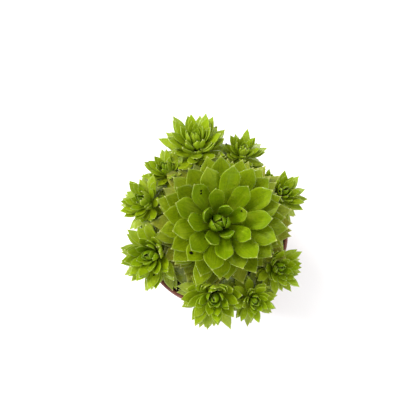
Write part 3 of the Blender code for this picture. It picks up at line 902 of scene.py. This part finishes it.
def hairs(w, points, outline, inputs, finish):
    """Short fine hairs along both margins of every leaf."""
    line = w.add("GeometryNodeMeshLine", {"Count": inputs["Hairs"]})
    index = w.add("GeometryNodeInputIndex")
    pairs = w.math("FLOOR", w.math("DIVIDE", index, 2.0))
    part = w.math("DIVIDE", w.times(pairs, 2.0), inputs["Hairs"])
    line = stored(w, line, angle=w.times(w.math("MODULO", index, 2.0), math.pi),
                  along=w.plus(HAIRS_FROM, w.times(part, 1.0 - HAIRS_FROM)))
    real = copied(w, points, line)
    place, cross, _ = on_blade(w, carried(w, "along"), carried(w, "angle"), outline, inputs)
    real = w.add("GeometryNodeSetPosition", {"Geometry": real, "Position": place})
    forward = w.vector("ADD", w.scale(direction(w, "out"), HAIR_FORWARD),
                       w.scale(direction(w, "up"), HAIR_UP))
    outward = w.vector("ADD", w.scale(direction(w, "across"), cross), forward)
    lean = w.drawn_vector((-HAIR_LEAN,) * 3, (HAIR_LEAN,) * 3, SEED)
    turn = w.add("FunctionNodeAlignRotationToVector",
                 {"Vector": w.vector("ADD", outward, lean)}, axis="Z")
    hair = w.add("GeometryNodeMeshCone", {"Vertices": 3, "Radius Bottom": inputs["Hair radius"],
                                          "Radius Top": 0.0, "Depth": inputs["Hair length"]})
    made = copied(w, real, hair, Rotation=turn, Scale=w.drawn(*HAIR_LENGTHS, SEED + 1))
    return w.add("GeometryNodeSetMaterial", {"Geometry": made, "Material": finish})


# %% The tree that grows a rosette
GREEN_FROM = RIM_HEIGHT + 2 * MM


def empty_tree(name, sizes):
    """A tree with a geometry in and out and named sizes, a hand for it, and its inputs."""
    tree = bpy.data.node_groups.new(name, "GeometryNodeTree")
    for way in ("INPUT", "OUTPUT"):
        tree.interface.new_socket("Geometry", in_out=way, socket_type="NodeSocketGeometry")
    for label, value in sizes.items():
        kind = "NodeSocketInt" if isinstance(value, int) else "NodeSocketFloat"
        tree.interface.new_socket(label, in_out="INPUT", socket_type=kind).default_value = value
    w = Wiring(tree)
    return tree, w, w.nodes.new("NodeGroupInput").outputs


def rosette_tree(name, outline, finish):
    """The whole tree: named sizes in, blades and hairs grown, the heart and stem passed on."""
    tree, w, inputs = empty_tree(name, SIZES)
    points, core = w.add("GeometryNodeSeparateGeometry",
                         {"Geometry": inputs[0],
                          "Selection": carried(w, "leaf", "BOOLEAN")}).node.outputs
    curve = outline_points(*outline)
    core = w.add("GeometryNodeSetMaterial", {"Geometry": core, "Material": STEM_FINISH})
    height = w.split(w.add("GeometryNodeInputPosition"))[2]
    above = w.math("GREATER_THAN", height, GREEN_FROM)
    core = w.add("GeometryNodeSetMaterial", {"Geometry": core, "Material": finish,
                                             "Selection": above})
    grown = w.joined(hairs(w, points, curve, inputs, HAIR_FINISH), core,
                     blades(w, points, curve, inputs, finish))
    w.links.new(grown, w.nodes.new("NodeGroupOutput").inputs[0])
    return tree


HEN_TREE = rosette_tree("hen leaves", HEN_OUTLINE, hen_finish)
CHICK_TREE = rosette_tree("chick leaves", CHICK_OUTLINE, chick_finish)


def settle(piece):
    """Keep what the modifiers make as the object's plain mesh."""
    evaluated = piece.evaluated_get(bpy.context.evaluated_depsgraph_get())
    mesh = bpy.data.meshes.new_from_object(evaluated)
    piece.modifiers.clear()
    piece.data = mesh
    return mesh


def run_tree(piece, tree, sizes):
    """Run a tree on an object, its sizes set by their sockets' identifiers."""
    modifier = piece.modifiers.new("grow", "NODES")
    modifier.node_group = tree
    for item in tree.interface.items_tree:
        if item.item_type == "SOCKET" and item.in_out == "INPUT" and item.name in sizes:
            modifier[item.identifier] = sizes[item.name]
    return settle(piece)


print("nodes in the hen's tree:", len(HEN_TREE.nodes))

# %% [markdown]
# ## Heart, stem and the points of the leaves
#
# Under its leaves a rosette has a short dense heart and a round stem that roots in the mix. Both are
# small and mostly hidden, so plain mesh code is enough: an egg-shaped ball, and rings swept along a
# smooth route. The leaves' points go into the same mesh and carry their frames as attributes.

# %% The stem
STEM_SIDES = 14
STEM_RINGS = 22
KNOT = 0.06
KNOT_STEP = 2.1


def smooth_route(route, count):
    """More points along a route, on a smooth curve through it."""
    points = []
    for i in range(count):
        t = i / (count - 1) * (len(route) - 1)
        k = min(int(t), len(route) - 2)
        u = t - k
        a, b, c, d = (route[min(max(j, 0), len(route) - 1)] for j in (k - 1, k, k + 1, k + 2))
        points.append(0.5 * ((2 * b) + (c - a) * u + (2 * a - 5 * b + 4 * c - d) * u * u
                             + (3 * b - a - 3 * c + d) * u ** 3))
    return points


def sweep(shape, points, radius):
    """A closed round tube through points, with slight knots."""
    rings = []
    side = Vector((1.0, 0.0, 0.0))
    for i, point in enumerate(points):
        way = (points[min(i + 1, len(points) - 1)] - points[max(i - 1, 0)]).normalized()
        side = (side - way * side.dot(way)).normalized()
        other = way.cross(side)
        thick = radius * (1.0 - KNOT + KNOT * math.cos(i * KNOT_STEP))
        rings.append([shape.verts.new(point + (side * math.cos(a) + other * math.sin(a)) * thick)
                      for a in (math.tau * k / STEM_SIDES for k in range(STEM_SIDES))])
    for ring, following in zip(rings, rings[1:]):
        for a in range(STEM_SIDES):
            b = (a + 1) % STEM_SIDES
            shape.faces.new((ring[a], ring[b], following[b], following[a]))
    shape.faces.new(list(reversed(rings[0])))
    shape.faces.new(rings[-1])


# %% The heart and the bud
HEART_DETAIL = 3
FINE_HEART = 0.20
BUD_CORE = 0.080
BUD_CORE_PLACE = 0.40
BUD_CORE_STRETCH = 2.2
BUD_CUP = 0.45
BUD_ENDS = 0.30
YOUNG_LENGTH = 0.76
YOUNG_ENDS = 0.14
BUD_SHIFT = Vector((-3.0, -2.2, -1.5)) * MM
SHIFT_ENDS = 0.40


def egg(shape, rosette, center, radii):
    """A ball stretched along the rosette's own axes."""
    place = Matrix.Translation(center) @ axis_frame(rosette).to_4x4()
    bmesh.ops.create_icosphere(shape, subdivisions=HEART_DETAIL, radius=1.0,
                               matrix=place @ Matrix.Diagonal((*radii, 1.0)))


def add_heart(shape, rosette):
    """The heart under the leaves, kept clear of the neighbours."""
    reach = rosette.reach * MM
    center = crown_place(rosette) + axis_frame(rosette) @ Vector((0.0, 0.0, HEART_RISE * reach))
    room = [(center - middle).dot(normal) - 2 * GAP for middle, normal in WALLS[rosette.name]]
    if rosette is not HEN:
        room.append(outside_dome(center) - 2 * GAP)
    size = min([reach] + [gap / HEART_HALF for gap in room])
    egg(shape, rosette, center, (FINE_HEART * size,) * 3)


def add_bud_core(shape, rosette):
    """A small core that the youngest leaves close round."""
    reach = rosette.reach * MM
    middle = Vector((0.0, 0.0, (CROWN_HEIGHT + BUD_LENGTH * BUD_CORE_PLACE) * reach))
    center = crown_place(rosette) + axis_frame(rosette) @ middle
    if rosette is HEN:
        center += BUD_SHIFT
    size = BUD_CORE * reach
    egg(shape, rosette, center, (size, size, size * BUD_CORE_STRETCH))


# %% The mesh that each rosette grows from
AXIS_ROOM = 0.3 * MM
OPEN_ENOUGH = 1.2
LEAST_COSINE = 0.05


def curl_to_axis(leaf):
    """How far a leaf may curl in before its point passes the rosette's axis."""
    if leaf.opening >= OPEN_ENOUGH:
        return leaf.curl
    away = leaf.reach * ROOT_RADIUS + leaf.length * math.sin(leaf.opening) - AXIS_ROOM
    return max(0.0, away) / max(LEAST_COSINE, math.cos(leaf.opening))


def leaf_numbers(leaf, draw):
    """What a leaf's point carries. The hen's bud stands off her axis, and her youngest are short."""
    out, across, up = (leaf.frame @ axis for axis in leaf.axes())
    root = leaf.crown + leaf.frame @ leaf.root()
    young = 1.0
    if leaf.rosette is HEN:
        root += BUD_SHIFT * max(0.0, 1.0 - leaf.age / SHIFT_ENDS)
        young = blend(YOUNG_LENGTH, 1.0, min(1.0, leaf.age / YOUNG_ENDS))
    slim = filling(leaf.rosette).slimmer * young
    return {"leaf": True, "age": leaf.age, "draw": draw,
            "cup": blend(BUD_CUP, CUP, min(1.0, leaf.age / BUD_ENDS)),
            "curl": min(leaf.curl, curl_to_axis(leaf)),
            "root": root, "out": out, "across": across, "up": up,
            "sizes": (leaf.length * young, leaf.width / 2 * slim, leaf.thickness)}


def growing_mesh(rosette):
    """The heart, the stem and one loose point for each leaf, with the leaf's numbers on it."""
    shape = bmesh.new()
    add_heart(shape, rosette)
    sweep(shape, smooth_route(stem_route(rosette), STEM_RINGS), stem_radius(rosette))
    add_bud_core(shape, rosette)
    bmesh.ops.recalc_face_normals(shape, faces=shape.faces)
    for face in shape.faces:
        face.smooth = True
    core = len(shape.verts)
    leaves = LEAVES[rosette.name]
    for leaf in leaves:
        shape.verts.new(leaf.crown + leaf.frame @ leaf.root())
    mesh = bpy.data.meshes.new(rosette.name)
    shape.to_mesh(mesh)
    shape.free()
    rng = random.Random(SEED + len(rosette.name))
    rows = [leaf_numbers(leaf, rng.random()) for leaf in leaves]
    for name, value in rows[0].items():
        kind = {bool: "BOOLEAN", float: "FLOAT"}.get(type(value), "FLOAT_VECTOR")
        layer = mesh.attributes.new(name, kind, "POINT")
        for i, row in enumerate(rows):
            setattr(layer.data[core + i], "vector" if kind == "FLOAT_VECTOR" else "value",
                    row[name])
    return mesh


# %% Grow every rosette
HEN_SIZES = {"Around": 21, "Along": 22, "Hairs": 48, "Hair radius": 0.025 * MM}
CHICK_SIZES = {"Around": 15, "Along": 15, "Hairs": 36, "Top fullness": 0.3,
               "Hair length": 0.32 * MM, "Hair radius": 0.022 * MM}
USED_UP = ("leaf", "curl", "root", "out", "up", "sizes", "angle", "across", "cup")


def grow(rosette):
    """One rosette as a plain mesh that takes its solid's place."""
    piece = linked(rosette.name + "_plant", growing_mesh(rosette))
    if rosette is HEN:
        mesh = run_tree(piece, HEN_TREE, HEN_SIZES)
    else:
        mesh = run_tree(piece, CHICK_TREE, CHICK_SIZES)
    for name in USED_UP:
        if name in mesh.attributes:
            mesh.attributes.remove(mesh.attributes[name])
    mesh.calc_loop_triangles()
    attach(piece, "root")
    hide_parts(rosette.name)
    print(piece.name, len(mesh.loop_triangles), "triangles")
    return piece


PLANTS = [grow(rosette) for rosette in ROSETTES]

# %% [markdown]
# ## The pot
#
# A nursery pot is one thin sheet of reddish-brown plastic, drawn to a slight taper, with a rolled
# lip that stiffens the rim and drain holes in the floor. Its profile is a closed line, so turning
# that line about the upright axis makes the whole pot at once. Fine roundings keep the lip bright.

# %% Turn the pot
POT_STEPS = 96
EDGE = 0.5 * MM
LIP_ROUND = 0.75 * WALL
LIP_STEPS = range(170, -1, -17)
WELD = 0.005 * MM
DRILL_SIDES = 32


def pot_profile():
    """The pot's closed section, from the middle of the floor up inside, over the lip and down."""
    lip_foot = RIM_HEIGHT - LIP_HEIGHT
    inside = [(0.0, FLOOR), (wall_radius(FLOOR) - WALL - EDGE, FLOOR),
              (wall_radius(FLOOR) - WALL, FLOOR + EDGE),
              (wall_radius(lip_foot) - WALL, lip_foot),
              (RIM_RADIUS - 2 * LIP_ROUND, RIM_HEIGHT - EDGE)]
    lip = [(RIM_RADIUS - LIP_ROUND + LIP_ROUND * math.cos(math.radians(a)) * 0.98,
            RIM_HEIGHT - LIP_ROUND + LIP_ROUND * math.sin(math.radians(a))) for a in LIP_STEPS]
    down = [(RIM_RADIUS, lip_foot + EDGE), (RIM_RADIUS - 0.15 * EDGE, lip_foot + 0.4 * EDGE),
            (RIM_RADIUS - 0.6 * EDGE, lip_foot), (wall_radius(lip_foot) + 0.3 * EDGE, lip_foot),
            (wall_radius(lip_foot), lip_foot - 0.4 * EDGE)]
    base = [(wall_radius(2 * EDGE), 2 * EDGE), (BASE_RADIUS - 0.5 * EDGE, 0.6 * EDGE),
            (BASE_RADIUS - 1.2 * EDGE, 0.1 * EDGE), (BASE_RADIUS - 2 * EDGE, 0.0), (0.0, 0.0)]
    return inside + lip + down + base


def turned(name, profile, steps):
    """A closed body turned about the upright axis."""
    mesh = bpy.data.meshes.new(name)
    edges = [(i, i + 1) for i in range(len(profile) - 1)]
    mesh.from_pydata([(radius, 0.0, height) for radius, height in profile], edges, [])
    piece = linked(name, mesh)
    screw = piece.modifiers.new("turn", "SCREW")
    screw.steps = steps
    screw.render_steps = steps
    screw.use_merge_vertices = True
    screw.merge_threshold = WELD
    solid = settle(piece)
    shape = bmesh.new()
    shape.from_mesh(solid)
    bmesh.ops.remove_doubles(shape, verts=shape.verts, dist=WELD)
    bmesh.ops.recalc_face_normals(shape, faces=shape.faces)
    shape.to_mesh(solid)
    shape.free()
    return piece


def drill(piece, radius, circle, count, bottom, top):
    """Round holes on a circle, cut one by one."""
    for i in range(count):
        angle = math.tau * (i + 0.5) / count
        place = (circle * math.cos(angle), circle * math.sin(angle), (top + bottom) / 2)
        shape = bmesh.new()
        bmesh.ops.create_cone(shape, cap_ends=True, segments=DRILL_SIDES, radius1=radius,
                              radius2=radius, depth=top - bottom,
                              matrix=Matrix.Translation(place))
        mesh = bpy.data.meshes.new("drill")
        shape.to_mesh(mesh)
        shape.free()
        cutter = linked("drill", mesh)
        cut = piece.modifiers.new("hole", "BOOLEAN")
        cut.operation = "DIFFERENCE"
        cut.object = cutter
        cut.solver = "EXACT"
        settle(piece)
        bpy.data.objects.remove(cutter)


# %% The pot's finish, and the pot
def pot_finish():
    """Reddish-brown moulded plastic: satin, faintly flowed, dusty and scuffed at the lip."""
    f = Finish("pot plastic", IOR=1.49)
    height = f.split(f.place)[2]
    flow = f.cloud(90.0, 2.0, place=f.vector("MULTIPLY", f.place, (1.0, 1.0, 0.4)))
    dust = f.cloud(520.0, 5.0, 0.65)
    f.start(f.smooth(flow, 0.35, 0.7), (108, 52, 38), (116, 59, 44))
    near_rim = f.smooth(height, RIM_HEIGHT - 9 * MM, RIM_HEIGHT)
    f.over(f.times(f.smooth(dust, 0.5, 0.75, 0.0, 0.6), f.plus(0.12, f.times(near_rim, 0.60))),
           (160, 132, 108))
    f.over(f.times(f.smooth(height, 5 * MM, 0.0, 0.0, 0.5), dust), (92, 70, 52))
    return f.done(f.smooth(dust, 0.3, 0.75, 0.42, 0.52),
                  ((flow, 0.10, 0.0004), (f.cloud(2600.0, 3.0), 0.04, 0.0001)))


pot = turned("plastic_pot", pot_profile(), POT_STEPS)
drill(pot, DRAIN_RADIUS, DRAIN_CIRCLE, DRAIN_COUNT, -FLOOR, 2 * FLOOR)
pot.data.shade_smooth()
pot.data.set_sharp_from_angle(angle=math.radians(35))
pot.data.materials.clear()
pot.data.materials.append(pot_finish())
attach(pot, "root")
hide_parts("pot")
print("pot:", len(pot.data.polygons), "faces")

# %% [markdown]
# ## The potting mix
#
# The mix is dark composted bark with paler chips and a little pumice. Its body is a turned plug with
# a bumpy top, and what shows between the leaves is loose grain, so hundreds of crumbs are scattered
# over the top by a seeded tree. Three crumb shapes, turned and sized at random, are enough to look
# endless. The crumbs carry a number that the finish turns into bark, fibre or pumice.

# %% The plug of mix, and three crumbs
MIX_STEPS = 72
MIX_RINGS = 26
FINE_LUMPS = 900.0
FINE_RISE = 0.35 * MM
CRUMB_LUMP = 0.55
CRUMB_LUMPS = 1.3


def plug_of_mix():
    """The body of the mix, with its top raised into lumps."""
    top = RIM_HEIGHT - MIX_BELOW_RIM
    bottom = FLOOR + GAP
    edge_radius = wall_radius(top) - WALL - GAP
    profile = [(edge_radius * ring / MIX_RINGS, top) for ring in range(MIX_RINGS + 1)]
    profile += [(wall_radius(bottom) - WALL - GAP, bottom), (0.0, bottom)]
    plug = turned("mix_with_grit", profile, MIX_STEPS)
    for vert in plug.data.vertices:
        radius = math.hypot(vert.co.x, vert.co.y)
        if vert.co.z > top - GAP and radius < edge_radius - GAP:
            fine = noise.noise(vert.co * FINE_LUMPS) * FINE_RISE
            vert.co.z = mix_top(vert.co.x, vert.co.y) + fine
    return plug


def crumb(name, seed, squash):
    """One crumb: a small ball pushed in and out by noise, then flattened."""
    shape = bmesh.new()
    bmesh.ops.create_icosphere(shape, subdivisions=2, radius=1.0)
    for vert in shape.verts:
        lump = noise.noise(vert.co * CRUMB_LUMPS + Vector((seed, 0.0, 0.0)))
        vert.co *= 1.0 + CRUMB_LUMP * lump
        vert.co.z *= squash
    mesh = bpy.data.meshes.new(name)
    shape.to_mesh(mesh)
    shape.free()
    return linked(name, mesh)


# %% The tree that scatters the crumbs
CRUMB_SIZES = {"Crumbs per square metre": 220000.0, "Smallest": 0.3 * MM, "Largest": 1.15 * MM,
               "Seed": SEED}
LEVEL = 0.3
MOSTLY_SMALL = 2.2


def crumb_tree(kinds, finish):
    """Scatter crumbs over the level top of a mesh, and pass the mesh on."""
    tree, w, inputs = empty_tree("scattered crumbs", CRUMB_SIZES)
    normal = w.split(w.add("GeometryNodeInputNormal"))[2]
    height = w.split(w.add("GeometryNodeInputPosition"))[2]
    level = w.times(w.math("GREATER_THAN", normal, LEVEL),
                    w.math("GREATER_THAN", height, RIM_HEIGHT - 2 * MIX_BELOW_RIM))
    points = w.add("GeometryNodeDistributePointsOnFaces",
                   {"Mesh": inputs[0], "Selection": level,
                    "Density": inputs["Crumbs per square metre"], "Seed": inputs["Seed"]})
    picks = w.joined(*(w.add("GeometryNodeObjectInfo", {"Object": kind, "As Instance": True},
                             out="Geometry") for kind in reversed(kinds)))
    spin = w.drawn_vector((-0.5, -0.5, 0.0), (0.5, 0.5, math.tau), inputs["Seed"])
    chance = w.math("POWER", w.drawn(0.0, 1.0, SEED + 2), MOSTLY_SMALL)
    size = w.add("ShaderNodeMapRange", {0: chance, 1: 0.0, 2: 1.0,
                                        3: inputs["Smallest"], 4: inputs["Largest"]})
    pick = w.add("FunctionNodeRandomValue", {4: 0, 5: len(kinds) - 1, "Seed": SEED + 3}, out=2,
                 data_type="INT")
    points = stored(w, points, kind=w.drawn(0.0, 1.0, SEED + 4))
    copies = w.add("GeometryNodeInstanceOnPoints",
                   {"Points": points, "Instance": picks, "Pick Instance": True,
                    "Instance Index": pick, "Rotation": spin, "Scale": size})
    crumbs_made = w.add("GeometryNodeRealizeInstances", {0: copies})
    done = w.add("GeometryNodeSetMaterial",
                 {"Geometry": w.joined(crumbs_made, inputs[0]), "Material": finish})
    w.links.new(done, w.nodes.new("NodeGroupOutput").inputs[0])
    return tree


# %% The mix's finish, and the mix
def mix_finish():
    """Damp composted bark with paler chips and a few bits of pumice."""
    f = Finish("potting mix")
    f.ramp(f.carried("kind"), ((0.0, (40, 24, 12)), (0.35, (58, 38, 20)), (0.6, (84, 58, 34)),
                               (0.78, (112, 84, 54)), (0.90, (60, 44, 30)),
                               (0.94, (150, 134, 112)), (1.0, (186, 174, 156))))
    grain = f.cloud(1500.0, 5.0, 0.7)
    f.over(f.smooth(grain, 0.35, 0.65, 0.75, 0.0), (30, 19, 10))
    fibre = f.cloud(2400.0, 3.0, place=f.vector("MULTIPLY", f.place, (1.0, 0.25, 0.6)))
    f.over(f.smooth(fibre, 0.55, 0.75, 0.0, 0.4), (140, 108, 72))
    return f.done(f.smooth(grain, 0.3, 0.7, 0.75, 0.95),
                  ((grain, 0.8, 0.0004), (fibre, 0.4, 0.0002)))


mix = plug_of_mix()
crumbs = [crumb("crumb", 3.0, 0.75), crumb("chip", 11.0, 0.45), crumb("lump", 23.0, 0.9)]
run_tree(mix, crumb_tree(crumbs, mix_finish()), {})
for each in crumbs:
    bpy.data.objects.remove(each)
mix.data.shade_smooth()
mix.data.set_sharp_from_angle(angle=math.radians(40))
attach(mix, "root")
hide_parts("potting_mix")
print("mix:", len(mix.data.polygons), "faces")

# %% [markdown]
# ## Grit on the leaves
#
# Watering splashes a few dark grains of the mix on the leaves. Each grain is dropped where it shows:
# a line from the camera through its place in the picture meets the first leaf, and the grain sits
# there, half sunk, flattened along the leaf. Each has its place across and down, and its radius in
# millimetres.

# %% Drop the grit
GRIT = ((191.0, 253.0, 0.80), (201.0, 190.8, 0.46), (201.0, 193.4, 0.46), (242.0, 211.0, 0.46),
        (226.0, 144.0, 0.46), (195.0, 159.0, 0.44), (200.0, 150.0, 0.40), (280.0, 191.0, 0.50),
        (216.0, 127.0, 0.36), (154.0, 275.0, 0.40), (164.0, 182.0, 0.34), (205.0, 239.0, 0.34))
GRIT_RISE = 0.25
GRIT_LUMP = 0.35
GRIT_SQUASH = 0.55


def picture_ray(x, y):
    """The camera's place and the way it looks through a pixel."""
    half = camera.data.sensor_width / 2 / camera.data.lens
    across = (x - PICTURE / 2) / (PICTURE / 2) * half
    upward = (PICTURE / 2 - y) / (PICTURE / 2) * half
    turn = camera.matrix_world.to_3x3()
    return camera.matrix_world.translation, (turn @ Vector((across, upward, -1.0))).normalized()


def drop_grit():
    """All the grains as one mesh."""
    shape = bmesh.new()
    trees = [BVHTree.FromObject(plant, bpy.context.evaluated_depsgraph_get()) for plant in PLANTS]
    for x, y, size in GRIT:
        eye, way = picture_ray(x, y)
        hits = [hit for hit in (tree.ray_cast(eye, way) for tree in trees) if hit[0]]
        if not hits:
            continue
        place, normal = min(hits, key=lambda hit: hit[3])[:2]
        if normal.dot(way) > 0.0:
            normal = -normal
        grain = bmesh.ops.create_icosphere(shape, subdivisions=2, radius=size * MM)["verts"]
        for vert in grain:
            lump = noise.noise(vert.co / (size * MM) + Vector((x, y, 0.0)))
            vert.co *= 1.0 + GRIT_LUMP * lump
            vert.co.z *= GRIT_SQUASH
        place = Matrix.Translation(place + normal * size * GRIT_RISE * MM)
        turn = normal.to_track_quat("Z", "Y").to_matrix().to_4x4()
        bmesh.ops.transform(shape, verts=grain, matrix=place @ turn)
    mesh = bpy.data.meshes.new("grit")
    shape.to_mesh(mesh)
    shape.free()
    mesh.shade_smooth()
    return mesh


def grit_finish():
    """Nearly black crumbs, matt."""
    f = Finish("grit", Specular_IOR_Level=0.05)
    grain = f.cloud(2500.0)
    f.start(grain, (4, 4, 2), (22, 19, 8))
    return f.done(f.smooth(grain, 0.3, 0.7, 0.6, 0.9))


grit = linked("grit_on_leaves", drop_grit())
grit.data.materials.append(grit_finish())
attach(grit, "root")
print("grit:", len(grit.data.polygons), "faces")


# %% The floor's finish
def floor_finish():
    """A plain matt white sheet with the faintest cloud."""
    f = Finish("floor sheet", Roughness=0.9)
    f.start(f.cloud(3.0), (0.86, 0.86, 0.87, 1.0), (0.90, 0.90, 0.90, 1.0))
    return f.done()


floor.data.materials.append(floor_finish())

# %% [markdown]
# ## The size before and after
#
# Dressing is meant to keep the model's size. The boxes before and after are printed side by side,
# and every piece rides on the part.

# %% Measure and finish
DRESSED_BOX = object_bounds()
for label, box in (("solid", CAD_BOX), ("dressed", DRESSED_BOX)):
    print(label, [round(1000 * (high - low), 1) for low, high in zip(*box)], "mm")
